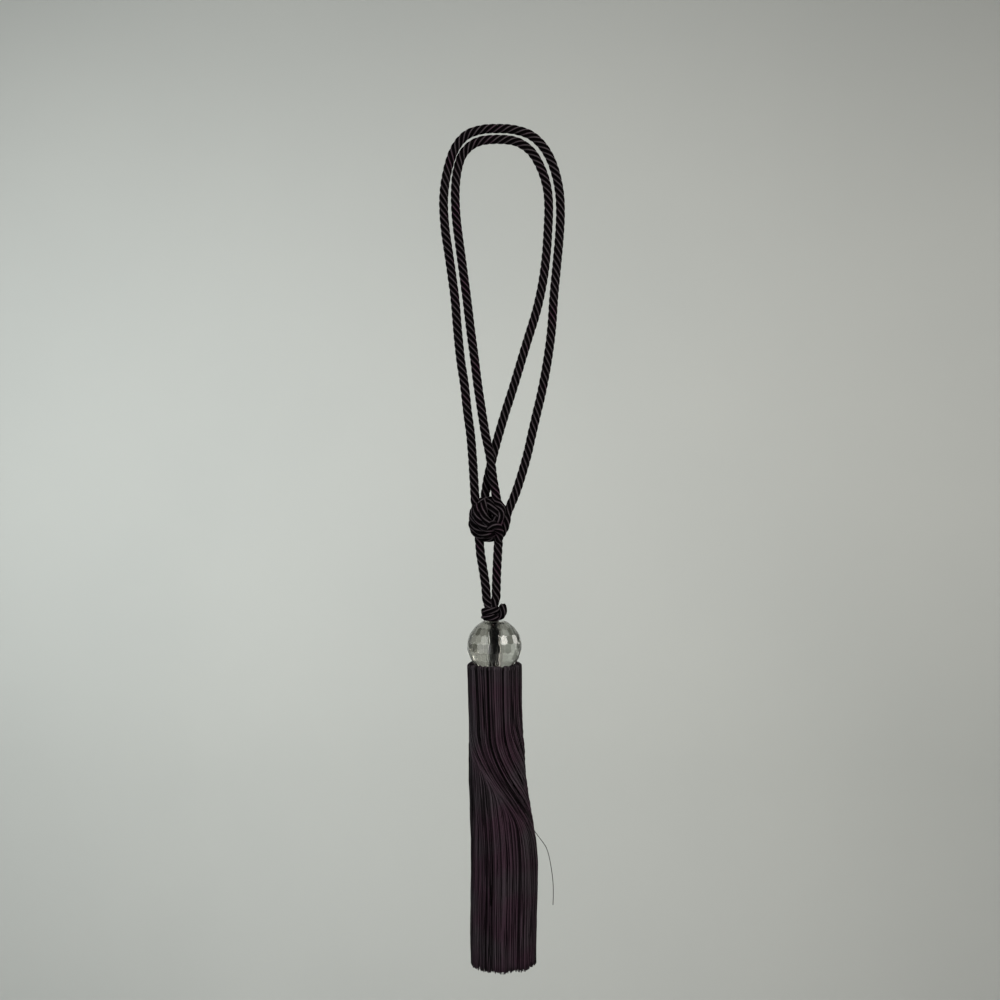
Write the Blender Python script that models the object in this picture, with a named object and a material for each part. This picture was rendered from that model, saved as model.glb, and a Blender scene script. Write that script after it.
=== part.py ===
"""Curtain tieback tassel.

One twisted cord makes a double loop, is gathered by a big wound knot, runs on as two short necks,
is knotted again above a clear faceted ball and ends in the head of a long yarn skirt.

Sizes here are in millimetres, and each mesh is scaled to metres as it is built. +Z is up, the
front faces -Y, and the origin is the top of the loops, from which the tieback hangs.
"""

import math

import bmesh
import bpy
from mathutils import Vector

MM = 0.001
GAP = 0.3                      # left between pieces that touch
WELD_DISTANCE = 0.01           # corners of the ball closer than this are one

# Cord
CORD_DIAMETER = 6.4
CORD_POINT_SPACING = 14.0      # between the points of a cord's tube
CORD_BEVEL_RESOLUTION = 2      # gives a tube of eight sides
CURVE_STEPS = 24               # drawn between two of a route's own points
STUB_LENGTH = 9.0              # of a knot's own short cord ends
STUB_SIDES = 12

# Big knot: a wound ball, its turns lying side by side about an axis that points at the front
BIG_KNOT_CENTRE = (-5.5, 0.0, -281.7)
BIG_KNOT_HALF = (14.5, 13.0, 16.0)
BIG_KNOT_AXIS = (0.13, -0.91, 0.39)
BIG_KNOT_TURN_ANGLE = 29.5     # degrees from one turn to the next, one cord's width
BIG_KNOT_GRID = (44, 30)       # mesh columns round the axis, rows along it
CREST_ROUNDING = 1.08          # of a turn's crest, in cord radii

# Small knot: two turns about the cord, with an ear of cord on the right
SMALL_KNOT_CENTRE = (-4.0, 0.0, -347.6)
SMALL_KNOT_HALF = (7.2, 6.7, 6.0)
SMALL_KNOT_AXIS = (-0.28, -0.10, 0.95)
SMALL_KNOT_TURN_ANGLE = 62.0
SMALL_KNOT_GRID = (28, 18)
EAR_CENTRE = (3.6, -0.4, -346.9)
EAR_HALF = (3.3, 3.6, 5.3)
EAR_GRID = (16, 10)            # mesh columns and rows

# Ball bead
BALL_CENTRE = (-1.9, 0.0, -372.0)
BALL_DIAMETER = 39.0
BALL_FACE_DISTANCE = 19.25     # from the centre to each facet
BALL_END_DISTANCE = 17.9       # from the centre to the flat at each end of the bore
BALL_ROW_ANGLE = 18.0          # degrees from one row of facets to the next
BALL_ROW_FACETS = 24
BALL_END_ROW_FACETS = 12       # in the rows next to the bore
BALL_BORE_DIAMETER = 7.0
BORE_CUTTER_LENGTH = 46.0      # longer than the ball
BORE_SIDES = 24
BALL_CORD_TOP = -355.0         # just inside the bore

# Skirt
SHOULDER_TOP = -383.7          # highest point of the rolled shoulder
SHOULDER_ROLL = 2.2            # radius of the folded yarn at the shoulder
SHOULDER_RADIUS = 19.7         # outside
SHOULDER_STEPS = (180, 145, 110, 75, 40, 0)  # degrees round the folded yarn, from the cup out
CUP_CLEARANCE = 0.5            # round the ball, which sits in the shoulder
CUP_FLOOR = BALL_CENTRE[2] - BALL_DIAMETER / 2 - CUP_CLEARANCE
CUP_RADII = (4.0, 8.0, 11.2, 14.0)
SKIRT_COLUMNS = 48
# The flutes: how many run round the skirt, their share of the depth, and where they start.
FLUTES = ((7, 0.6, 0.0), (11, 0.4, 1.3))
# The hem's waves, in the same way.
HEM_WAVES = ((5, 0.55, -1.17), (13, 0.45, -1.57))
HEM_RISE = 1.6                 # how far the cut hem wanders up and down
HEM_DOME = 3.0                 # how far the middle of the hem is drawn in
HEM_RING_SIZE = 0.55           # of the ring between the hem's edge and its middle
HEM_RING_RISE = 0.6            # of the dome, reached at that ring

# One row for each level of the skirt: its height, the middle, half width and half depth of the
# section there, how deep its flutes are, and how far they have turned about the skirt (degrees).
SKIRT_SECTIONS = [
    # z, middle_x, half_width, half_depth, flute, turn
    (-388.5, -1.9, 19.8, 19.6, 0.0, 0),
    (-396.0, -1.8, 19.8, 19.4, 0.2, 0),
    (-410.0, -1.6, 19.8, 18.9, 0.3, 2),
    (-428.0, -1.0, 20.1, 18.6, 0.4, 6),
    (-446.0, -0.3, 20.6, 18.6, 0.5, 14),
    (-464.0, 0.7, 21.3, 18.9, 0.6, 24),
    (-481.0, 1.8, 22.2, 19.3, 0.7, 34),
    (-497.0, 3.1, 23.4, 19.9, 0.8, 42),
    (-511.0, 4.3, 24.5, 20.5, 0.8, 47),
    (-525.0, 5.0, 25.1, 20.9, 0.8, 50),
    (-543.0, 4.9, 25.1, 21.0, 0.8, 51),
    (-562.0, 4.5, 24.9, 21.0, 0.8, 52),
    (-580.0, 4.3, 24.8, 20.9, 0.8, 52),
    (-597.5, 4.4, 24.5, 20.6, 0.8, 52),
]

# Routes of the cord's free stretches, from the upper end of a strand to the lower one, or for a
# loop from the knot's left over the top and back to it. Points of a smooth curve: x, y, z.
OUTER_LOOP_ROUTE = [
    (-15.8, 0.6, -265.0), (-16.4, 0.4, -254.9), (-17.4, 0.0, -239.2), (-18.9, 0.0, -221.3),
    (-21.1, 0.0, -205.0), (-23.3, 0.0, -185.6), (-26.1, 0.0, -167.0), (-28.2, 0.0, -146.4),
    (-30.0, 0.0, -125.0), (-32.2, -0.2, -108.0), (-34.7, -0.5, -90.7), (-37.2, -0.8, -73.0),
    (-38.1, -1.2, -53.6), (-35.8, -1.5, -35.0), (-30.6, -1.5, -18.5), (-22.4, -1.5, -8.1),
    (-11.5, -1.4, -3.9), (0.0, -1.2, -3.0), (12.5, -1.0, -3.8), (24.6, -0.8, -8.0),
    (34.0, -0.4, -17.2), (40.4, 0.2, -30.0), (44.3, 0.8, -46.0), (45.3, 1.2, -61.5),
    (44.6, 1.4, -78.5), (42.8, 1.4, -99.0), (40.6, 1.2, -122.0), (39.2, 1.0, -142.8),
    (37.4, 0.8, -158.9), (34.8, 0.6, -175.5), (31.7, 0.6, -191.6), (28.2, 0.6, -206.5),
    (24.9, 0.6, -220.8), (21.7, 0.4, -235.0), (17.4, 0.0, -250.3), (13.2, -0.6, -263.0),
    (9.2, -1.0, -272.5),
]
INNER_LOOP_ROUTE = [
    (-0.9, -3.6, -263.4), (-2.9, -3.6, -252.6), (-5.0, -3.5, -236.7), (-8.4, -3.2, -220.3),
    (-10.9, -2.6, -204.8), (-13.8, -1.6, -185.6), (-16.2, -0.8, -166.4), (-18.9, -0.2, -146.4),
    (-21.5, 0.2, -125.0), (-24.3, 0.5, -104.0), (-27.0, 0.8, -84.0), (-29.2, 1.0, -66.0),
    (-29.9, 1.3, -48.0), (-28.4, 1.6, -32.0), (-23.9, 1.6, -19.5), (-14.2, 1.5, -11.8),
    (0.0, 1.4, -9.9), (13.8, 1.3, -11.6), (24.2, 1.2, -18.6), (31.3, 1.0, -30.4),
    (35.6, 0.8, -44.0), (36.9, 0.6, -58.0), (36.3, 0.6, -76.0), (35.0, 0.8, -94.0),
    (32.4, 1.2, -113.5), (28.2, 1.8, -132.5), (22.4, 2.4, -151.4), (16.8, 2.8, -170.0),
    (11.2, 3.1, -188.5), (5.6, 3.2, -206.0), (0.3, 3.3, -224.0), (-3.6, 3.3, -239.0),
    (-6.6, 3.3, -252.0), (-8.3, 3.2, -262.6),
]
LEFT_NECK_ROUTE = [
    (-12.5, 0.2, -298.4), (-11.7, 0.3, -307.0), (-9.9, 0.3, -317.7), (-8.3, 0.2, -329.0),
    (-7.5, 0.0, -337.6),
]
RIGHT_NECK_ROUTE = [
    (0.9, -1.4, -299.0), (0.4, -1.2, -307.7), (-0.1, -0.8, -317.7), (-0.5, -0.4, -329.0),
    (-0.6, -0.2, -337.6),
]

# Finishes: colour, roughness and how far light passes through
FINISHES = {
    "plum_cord": ((0.028, 0.016, 0.024), 0.55, 0.0),
    "plum_yarn": ((0.034, 0.016, 0.028), 0.5, 0.0),
    "clear_acrylic": ((0.95, 0.97, 0.95), 0.03, 0.9),
}


def clear_scene():
    for item in list(bpy.data.objects):
        bpy.data.objects.remove(item, do_unlink=True)


def make_material(name):
    colour, roughness, transmission = FINISHES[name]
    material = bpy.data.materials.new(name)
    material.use_nodes = True
    surface = material.node_tree.nodes["Principled BSDF"]
    surface.inputs["Base Color"].default_value = (*colour, 1.0)
    surface.inputs["Roughness"].default_value = roughness
    surface.inputs["Transmission Weight"].default_value = transmission
    return material


def add_object(name, data, material=None):
    item = bpy.data.objects.new(name, data)
    bpy.context.collection.objects.link(item)
    if material:
        data.materials.append(material)
    return item


def mesh_from(name, mesh_in_mm):
    """Scale a bmesh from millimetres to metres, face it outwards and make it a mesh."""
    bmesh.ops.scale(mesh_in_mm, vec=(MM, MM, MM), verts=mesh_in_mm.verts)
    bmesh.ops.recalc_face_normals(mesh_in_mm, faces=mesh_in_mm.faces)
    mesh = bpy.data.meshes.new(name)
    mesh_in_mm.to_mesh(mesh)
    mesh_in_mm.free()
    return mesh


def hide_helper(item):
    item.hide_render = True
    item.display_type = "WIRE"


def combine(item, helper, operation):
    """Leave a Boolean with a helper solid on an object."""
    hide_helper(helper)
    modifier = item.modifiers.new(helper.name, "BOOLEAN")
    modifier.operation = operation
    modifier.solver = "EXACT"
    modifier.object = helper


# ---------------------------------------------------------------- cord

def curve_point(before, start, end, after, share):
    """Point a share of the way from start to end on the smooth curve through both."""
    return 0.5 * (
        2 * start
        + (end - before) * share
        + (2 * before - 5 * start + 4 * end - after) * share ** 2
        + (3 * start - before - 3 * end + after) * share ** 3
    )


def smooth_route(route, spacing=CORD_POINT_SPACING):
    """Evenly spaced points of the smooth curve through a route's own points."""
    given = [Vector(point) for point in route]
    given = [2 * given[0] - given[1], *given, 2 * given[-1] - given[-2]]
    fine = [
        curve_point(*given[index:index + 4], step / CURVE_STEPS)
        for index in range(len(given) - 3)
        for step in range(CURVE_STEPS)
    ]
    fine.append(given[-2])
    travelled = [0.0]
    for start, end in zip(fine, fine[1:]):
        travelled.append(travelled[-1] + (end - start).length)
    count = max(3, round(travelled[-1] / spacing))
    points = []
    segment = 0
    for number in range(count + 1):
        wanted = travelled[-1] * number / count
        while segment < len(fine) - 2 and travelled[segment + 1] < wanted:
            segment += 1
        share = (wanted - travelled[segment]) / (travelled[segment + 1] - travelled[segment])
        points.append(fine[segment].lerp(fine[segment + 1], share))
    return points


def make_cord(name, points, material):
    """A plain tube along the points, closed at both ends."""
    curve = bpy.data.curves.new(name, "CURVE")
    curve.dimensions = "3D"
    curve.bevel_depth = CORD_DIAMETER / 2 * MM
    curve.bevel_resolution = CORD_BEVEL_RESOLUTION
    curve.use_fill_caps = True
    curve.render_resolution_u = 0
    spline = curve.splines.new("POLY")
    spline.points.add(len(points) - 1)
    for spline_point, point in zip(spline.points, points):
        spline_point.co = (*(point * MM), 1.0)
    return add_object(name, curve, material)


def first_end(points):
    """The first end of a cord and the way the cord would run on beyond it."""
    return points[0], (points[0] - points[1]).normalized()


def last_end(points):
    return points[-1], (points[-1] - points[-2]).normalized()


def make_stub(name, cord_end):
    """A knot's own short length of cord, whose flat end faces a cord's end across the gap."""
    end, direction = cord_end
    middle = end + direction * (GAP + STUB_LENGTH / 2)
    turned = direction.to_track_quat("Z", "Y").to_matrix().to_4x4()
    turned.translation = middle
    solid = bmesh.new()
    bmesh.ops.create_cone(
        solid, cap_ends=True, segments=STUB_SIDES, radius1=CORD_DIAMETER / 2,
        radius2=CORD_DIAMETER / 2, depth=STUB_LENGTH, matrix=turned,
    )
    return add_object(name, mesh_from(name, solid))


# ---------------------------------------------------------------- knots

def side_directions(axis):
    """Two unit vectors square to an axis and to each other."""
    side = axis.cross(Vector((0, 0, 1)) if abs(axis.z) < 0.9 else Vector((0, 1, 0))).normalized()
    return side, axis.cross(side)


def groove_depth(angle, bearing, turn_angle, cord_radius):
    """How far the surface of a wound ball lies below the crest of its nearest turn.

    The cord spirals from pole to pole: it lies one turn_angle further from the pole each time it
    has gone once round the axis. angle is measured from the pole and bearing round the axis.
    """
    off_crest = (angle / turn_angle - bearing / math.tau) % 1.0 - 0.5
    sideways = 2 * abs(off_crest) * cord_radius
    rounding = CREST_ROUNDING * cord_radius
    return rounding - math.sqrt(rounding ** 2 - sideways ** 2)


def wound_ball(name, centre, half_sizes, axis, turn_angle, grid, material):
    """A closed ball of cord with a ridge for each of its main turns."""
    columns, rows = grid
    axis = Vector(axis).normalized()
    side, up = side_directions(axis)
    centre = Vector(centre)

    def surface(row, column):
        angle = math.pi * row / rows
        bearing = math.tau * column / columns
        direction = (
            axis * math.cos(angle)
            + (side * math.cos(bearing) + up * math.sin(bearing)) * math.sin(angle)
        )
        depth = groove_depth(angle, bearing, math.radians(turn_angle), CORD_DIAMETER / 2)
        return centre + Vector([part * (half - depth) for part, half in zip(direction, half_sizes)])

    solid = bmesh.new()
    rings = [
        [solid.verts.new(surface(row, column)) for column in range(columns)]
        for row in range(1, rows)
    ]
    poles = [solid.verts.new(surface(row, 0)) for row in (0, rows)]
    bridge_rings(solid, rings)
    close_ring(solid, rings[0], poles[0])
    close_ring(solid, rings[-1], poles[1])
    return add_object(name, mesh_from(name, solid), material)


def bridge_rings(solid, rings):
    for upper, lower in zip(rings, rings[1:]):
        for index in range(len(upper)):
            after = (index + 1) % len(upper)
            solid.faces.new((upper[index], upper[after], lower[after], lower[index]))


def close_ring(solid, ring, tip):
    for index, vertex in enumerate(ring):
        solid.faces.new((vertex, ring[(index + 1) % len(ring)], tip))


def make_big_knot(cord_ends, material):
    knot = wound_ball(
        "slide_knot", BIG_KNOT_CENTRE, BIG_KNOT_HALF, BIG_KNOT_AXIS, BIG_KNOT_TURN_ANGLE,
        BIG_KNOT_GRID, material,
    )
    for number, cord_end in enumerate(cord_ends):
        combine(knot, make_stub(f"slide_knot_end_{number}", cord_end), "UNION")


def make_small_knot(cord_ends, material):
    knot = wound_ball(
        "collar_knot", SMALL_KNOT_CENTRE, SMALL_KNOT_HALF, SMALL_KNOT_AXIS,
        SMALL_KNOT_TURN_ANGLE, SMALL_KNOT_GRID, material,
    )
    ear = bmesh.new()
    columns, rows = EAR_GRID
    bmesh.ops.create_uvsphere(ear, u_segments=columns, v_segments=rows, radius=1.0)
    bmesh.ops.scale(ear, vec=EAR_HALF, verts=ear.verts)
    bmesh.ops.translate(ear, vec=EAR_CENTRE, verts=ear.verts)
    combine(knot, add_object("collar_knot_ear", mesh_from("collar_knot_ear", ear)), "UNION")
    for number, cord_end in enumerate(cord_ends):
        combine(knot, make_stub(f"collar_knot_end_{number}", cord_end), "UNION")


# ---------------------------------------------------------------- ball bead

def facet_planes():
    """Each facet's normal, as long as one over its distance from the ball's centre.

    The facets lie in rows that are staggered like bricks, with a flat at each end of the bore.
    """
    planes = [Vector((0, 0, 1)) / BALL_END_DISTANCE, Vector((0, 0, -1)) / BALL_END_DISTANCE]
    row_count = round(180 / BALL_ROW_ANGLE) - 1
    for row in range(row_count):
        tilt = math.radians(BALL_ROW_ANGLE * (row + 1))
        is_end_row = row in (0, row_count - 1)
        count = BALL_END_ROW_FACETS if is_end_row else BALL_ROW_FACETS
        for number in range(count):
            bearing = math.tau * (number + 0.5 * (row % 2)) / count
            normal = Vector((
                math.sin(tilt) * math.cos(bearing),
                math.sin(tilt) * math.sin(bearing),
                math.cos(tilt),
            ))
            planes.append(normal / BALL_FACE_DISTANCE)
    return planes


def hull_of(points):
    """The closed convex solid round some points."""
    solid = bmesh.new()
    for point in points:
        solid.verts.new(point)
    hull = bmesh.ops.convex_hull(solid, input=solid.verts)
    unused = [part for part in hull["geom_interior"] if isinstance(part, bmesh.types.BMVert)]
    bmesh.ops.delete(solid, geom=unused, context="VERTS")
    solid.normal_update()
    return solid


def ground_corners(planes):
    """The corners of a solid ground flat along each plane.

    Planes that are neighbours on their own hull belong to facets that share a corner. The corner
    lies straight out along that hull's face, as far as one over the face's distance.
    """
    neighbours = hull_of(planes)
    corners = []
    for face in neighbours.faces:
        distance = face.normal.dot(face.verts[0].co)
        corners.append(face.normal / distance)
    neighbours.free()
    return corners


def make_ball(material):
    """A ball ground to flat facets, then bored from top to bottom."""
    centre = Vector(BALL_CENTRE)
    solid = hull_of(ground_corners(facet_planes()))
    bmesh.ops.remove_doubles(solid, verts=solid.verts, dist=WELD_DISTANCE)
    bmesh.ops.translate(solid, vec=centre, verts=solid.verts)
    ball = add_object("crystal_ball", mesh_from("crystal_ball", solid), material)

    bore = bmesh.new()
    bmesh.ops.create_cone(
        bore, cap_ends=True, segments=BORE_SIDES, radius1=BALL_BORE_DIAMETER / 2,
        radius2=BALL_BORE_DIAMETER / 2, depth=BORE_CUTTER_LENGTH,
    )
    bmesh.ops.translate(bore, vec=centre, verts=bore.verts)
    combine(ball, add_object("ball_bore", mesh_from("ball_bore", bore)), "DIFFERENCE")


# ---------------------------------------------------------------- skirt

def waves(parts, bearing):
    """The sum of some waves round the skirt, each a count, a share and a starting angle."""
    return sum(share * math.cos(count * bearing + start) for count, share, start in parts)


def fluted_ring(solid, z, middle_x, half_width, half_depth, flute, turn):
    """One level of the skirt: an oval whose edge runs in and out over bunches of yarn."""
    ring = []
    for column in range(SKIRT_COLUMNS):
        bearing = math.tau * column / SKIRT_COLUMNS
        turned = bearing - math.radians(turn)
        lobes = waves(FLUTES, turned)
        ring.append(solid.verts.new((
            middle_x + (half_width + flute * (lobes - 1.0)) * math.cos(bearing),
            (half_depth + flute * (lobes - 1.0)) * math.sin(bearing),
            z,
        )))
    return ring


def cup_rings(solid):
    """The hollow that the ball sits in, from near its middle out to the shoulder."""
    cup_radius = BALL_DIAMETER / 2 + CUP_CLEARANCE
    rings = []
    for radius in CUP_RADII:
        z = BALL_CENTRE[2] - math.sqrt(cup_radius ** 2 - radius ** 2)
        rings.append(fluted_ring(solid, z, BALL_CENTRE[0], radius, radius, 0.0, 0))
    return rings


def shoulder_rings(solid):
    """The yarn folded over at the top: a half round from the cup to the skirt's outside."""
    middle_radius = SHOULDER_RADIUS - SHOULDER_ROLL
    rings = []
    for degrees in SHOULDER_STEPS:
        angle = math.radians(degrees)
        radius = middle_radius + SHOULDER_ROLL * math.cos(angle)
        z = SHOULDER_TOP - SHOULDER_ROLL + SHOULDER_ROLL * math.sin(angle)
        rings.append(fluted_ring(solid, z, BALL_CENTRE[0], radius, radius, 0.0, 0))
    return rings


def roughen_hem(ring):
    """Let the cut edge wander up and down as bunches of yarn end a little apart."""
    for column, vertex in enumerate(ring):
        bearing = math.tau * column / SKIRT_COLUMNS
        vertex.co.z += HEM_RISE * waves(HEM_WAVES, bearing)


def make_skirt(material):
    solid = bmesh.new()
    floor = solid.verts.new((BALL_CENTRE[0], 0.0, CUP_FLOOR))
    cup = cup_rings(solid)
    sides = [fluted_ring(solid, *section) for section in SKIRT_SECTIONS]
    hem_z, hem_x, hem_width, hem_depth, _, hem_turn = SKIRT_SECTIONS[-1]
    inner = fluted_ring(
        solid, hem_z + HEM_DOME * HEM_RING_RISE, hem_x, hem_width * HEM_RING_SIZE,
        hem_depth * HEM_RING_SIZE, 0.0, hem_turn,
    )
    tip = solid.verts.new((hem_x, 0.0, hem_z + HEM_DOME))
    roughen_hem(sides[-1])
    rings = [*cup, *shoulder_rings(solid), *sides, inner]
    close_ring(solid, rings[0], floor)
    bridge_rings(solid, rings)
    close_ring(solid, rings[-1], tip)
    return add_object("skirt", mesh_from("skirt", solid), material)


def build():
    clear_scene()
    materials = {name: make_material(name) for name in FINISHES}
    cord = materials["plum_cord"]

    outer = smooth_route(OUTER_LOOP_ROUTE)
    inner = smooth_route(INNER_LOOP_ROUTE)
    left_neck = smooth_route(LEFT_NECK_ROUTE, spacing=CORD_DIAMETER * 2)
    right_neck = smooth_route(RIGHT_NECK_ROUTE, spacing=CORD_DIAMETER * 2)
    through_ball = smooth_route(
        [(BALL_CENTRE[0], 0.0, BALL_CORD_TOP), (BALL_CENTRE[0], 0.0, CUP_FLOOR + GAP)],
    )
    for name, points in (
        ("loop_outer", outer), ("loop_inner", inner), ("neck_left", left_neck),
        ("neck_right", right_neck), ("bead_cord", through_ball),
    ):
        make_cord(name, points, cord)

    make_big_knot(
        [first_end(outer), last_end(outer), first_end(inner), last_end(inner),
         first_end(left_neck), first_end(right_neck)],
        cord,
    )
    make_small_knot([last_end(left_neck), last_end(right_neck), first_end(through_ball)], cord)
    make_ball(materials["clear_acrylic"])
    make_skirt(materials["plum_yarn"])


build()
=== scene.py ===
# %% [markdown]
# # A tasselled curtain tieback
# The real tieback is one length of dark plum cord. It makes two loops, is gathered by a big wound
# knot, is knotted once more above a clear ball bead, and ends in a long skirt of folded yarn.
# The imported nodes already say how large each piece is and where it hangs, so this lesson starts
# by loading them, and every cell after that gives one piece its real surface.

# %% Load the fixed frame
import math

import bpy
import numpy as np
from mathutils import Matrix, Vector
from mathutils.bvhtree import BVHTree


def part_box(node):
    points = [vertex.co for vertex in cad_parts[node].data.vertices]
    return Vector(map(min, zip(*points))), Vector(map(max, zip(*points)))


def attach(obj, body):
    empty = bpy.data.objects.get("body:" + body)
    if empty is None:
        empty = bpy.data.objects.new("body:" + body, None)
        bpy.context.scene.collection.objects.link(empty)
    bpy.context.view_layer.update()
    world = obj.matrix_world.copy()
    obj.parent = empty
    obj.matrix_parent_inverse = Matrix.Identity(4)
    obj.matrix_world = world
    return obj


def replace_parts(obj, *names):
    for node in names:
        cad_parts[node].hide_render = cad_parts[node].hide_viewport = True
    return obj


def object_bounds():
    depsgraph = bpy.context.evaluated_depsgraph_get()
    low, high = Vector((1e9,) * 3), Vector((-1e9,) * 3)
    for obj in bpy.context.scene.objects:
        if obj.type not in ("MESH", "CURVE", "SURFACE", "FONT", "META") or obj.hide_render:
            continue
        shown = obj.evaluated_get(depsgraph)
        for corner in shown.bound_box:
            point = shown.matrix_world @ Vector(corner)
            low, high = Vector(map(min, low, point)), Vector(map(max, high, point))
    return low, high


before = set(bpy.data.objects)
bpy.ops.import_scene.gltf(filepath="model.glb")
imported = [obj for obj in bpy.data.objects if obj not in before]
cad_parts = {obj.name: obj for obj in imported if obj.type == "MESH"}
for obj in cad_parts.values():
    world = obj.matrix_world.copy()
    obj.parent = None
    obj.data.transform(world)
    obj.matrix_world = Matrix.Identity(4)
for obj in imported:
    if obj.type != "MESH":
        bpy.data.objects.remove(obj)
cad_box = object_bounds()
bpy.ops.object.select_all(action="DESELECT")
MM = 0.001
print("nodes:", ", ".join(sorted(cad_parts)))
print("height of the frame:", round((cad_box[1] - cad_box[0]).z, 4), "m")

# %% [markdown]
# ## Camera
# The tieback is seen straight on, from a little under a metre. A camera is easiest to place by
# what it should cover: here 714 mm of the plane that the cords hang in. The focal length then
# follows from the distance, so the two never drift apart.

# %% Camera
PICTURE_HEIGHT = 0.714
CAMERA_DISTANCE = 0.86
CAMERA_X = 0.0021
CAMERA_Z = -0.2678

bpy.ops.object.camera_add(
    location=(CAMERA_X, -CAMERA_DISTANCE, CAMERA_Z), rotation=(math.radians(90), 0, 0)
)
camera = bpy.context.object
camera.data.lens = camera.data.sensor_width * CAMERA_DISTANCE / PICTURE_HEIGHT
bpy.context.scene.camera = camera
print("focal length:", round(camera.data.lens, 1), "mm")

# %% [markdown]
# ## Points along a cord
# A cord is given by a few points. A smooth curve has to pass through all of them, and the rings
# of its surface have to be evenly spaced, or the twist would bunch up. So the curve is drawn finely
# first, measured, and then read off at equal steps.

# %% A smooth route with even steps
CURVE_STEPS = 24                   # steps between two given points, before the curve is measured
FIRST_SIDE = (0.31, 0.95, 0.05)    # any direction that no cord starts in


def smooth_route(route, spacing):
    """Evenly spaced points of the smooth curve through a route's own points."""
    given = np.array(route, float)
    given = np.vstack([2 * given[0] - given[1], given, 2 * given[-1] - given[-2]])
    share = np.linspace(0, 1, CURVE_STEPS, endpoint=False)[:, None]
    fine = []
    for before, start, end, after in zip(given, given[1:], given[2:], given[3:]):
        fine.append(0.5 * (
            2 * start
            + (end - before) * share
            + (2 * before - 5 * start + 4 * end - after) * share ** 2
            + (3 * start - before - 3 * end + after) * share ** 3
        ))
    fine = np.vstack([*fine, given[-2]])
    travelled = lengths_along(fine)
    steps = max(3, round(travelled[-1] / spacing))
    wanted = np.linspace(0, travelled[-1], steps + 1)
    return np.column_stack([np.interp(wanted, travelled, fine[:, axis]) for axis in range(3)])


def lengths_along(points):
    """How far along the line each of its points is."""
    return np.concatenate([[0], np.cumsum(np.linalg.norm(np.diff(points, axis=0), axis=1))])


def carried_directions(points):
    """A side and an up direction at each point, carried along the line without turning round it."""
    along = np.gradient(points, axis=0)
    along /= np.linalg.norm(along, axis=1)[:, None]
    side = np.cross(along[0], FIRST_SIDE)
    sides = []
    for direction in along:
        side = side - direction * side.dot(direction)
        side = side / np.linalg.norm(side)
        sides.append(side)
    sides = np.array(sides)
    return sides, np.cross(along, sides)


straight = smooth_route([(0, 0, 0), (0, 0, 100)], 10)
print("a straight 100 mm line at 10 mm steps:", len(straight), "points")

# %% [markdown]
# ## Laying a five-ply cord
# Twisted cord is a few plies wound round each other, and this one has five. Its outline, cut
# straight across, is five round lobes pressed together, and that outline turns once for every lay
# length of cord. Sweeping the outline along the route and turning it on the way gives the deep
# grooves between the plies as real geometry. The surface map keeps two lengths for the finish to
# use: how far along the cord a point is, and how far round its own ply.

# %% The section of a cord
CORD_DIAMETER = 6.4
CROWN_PROUD = 0.1         # how far a ply's crown stands past the cord's diameter
LAY_LENGTH = 26.5
PLY_COUNT = 5
PLY_RADIUS = 1.35
PLY_FACES = 8


def ply_section():
    """How far out a ply's middle lies, and its lobe's points as angles about that middle."""
    out = CORD_DIAMETER / 2 + CROWN_PROUD - PLY_RADIUS
    half_turn = math.pi / PLY_COUNT
    meet = out * math.cos(half_turn) + math.sqrt(PLY_RADIUS ** 2 - (out * math.sin(half_turn)) ** 2)
    edge = math.atan2(meet * math.sin(half_turn), meet * math.cos(half_turn) - out)
    return out, np.linspace(-edge, edge, PLY_FACES + 1)


def lay_cord(points, first_turn=0.0, lay=LAY_LENGTH, scale=1.0):
    """Sweep the cord's section along points. Returns the rings and the two lengths of the map."""
    out, angles = ply_section()
    lengths = lengths_along(points)
    sides, ups = carried_directions(points)
    turn = first_turn - math.tau * lengths / lay
    rings = []
    for ply in range(PLY_COUNT):
        middle = turn[:, None] + math.tau * ply / PLY_COUNT
        flat_x = out * np.cos(middle) + PLY_RADIUS * np.cos(middle + angles[:-1])
        flat_y = out * np.sin(middle) + PLY_RADIUS * np.sin(middle + angles[:-1])
        rings.append(
            points[:, None]
            + scale * flat_x[:, :, None] * sides[:, None]
            + scale * flat_y[:, :, None] * ups[:, None]
        )
    across = np.tile(angles * PLY_RADIUS, (PLY_COUNT, 1))
    return {
        "rings": np.concatenate(rings, axis=1),
        "along": lengths,
        "left": across[:, :-1].ravel(),
        "right": across[:, 1:].ravel(),
        "tint": 0.0,
    }


def cut(strand, first, last):
    """The part of a swept strand from one ring to another."""
    part = dict(strand)
    part["rings"] = strand["rings"][first:last + 1]
    part["along"] = strand["along"][first:last + 1]
    return part


print("a ring has", PLY_COUNT * PLY_FACES, "points")

# %% [markdown]
# ## From rings to a mesh
# Every piece of cord and of yarn is a strand of rings, so one function can give them all their
# skin: a face between each pair of neighbours, a cap on both ends, the surface map and the
# strand's tint. It writes the mesh in one go, because hundreds of strands made one at a time by
# operators would take minutes.

# %% The skin of swept strands
CORD_CREASE = 50          # degrees: a sharper bend, such as the groove between plies, stays an edge


def select_only(piece):
    """Select one piece and nothing else, so that an operator acts on it alone."""
    bpy.ops.object.select_all(action="DESELECT")
    piece.select_set(True)
    bpy.context.view_layer.objects.active = piece


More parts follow.
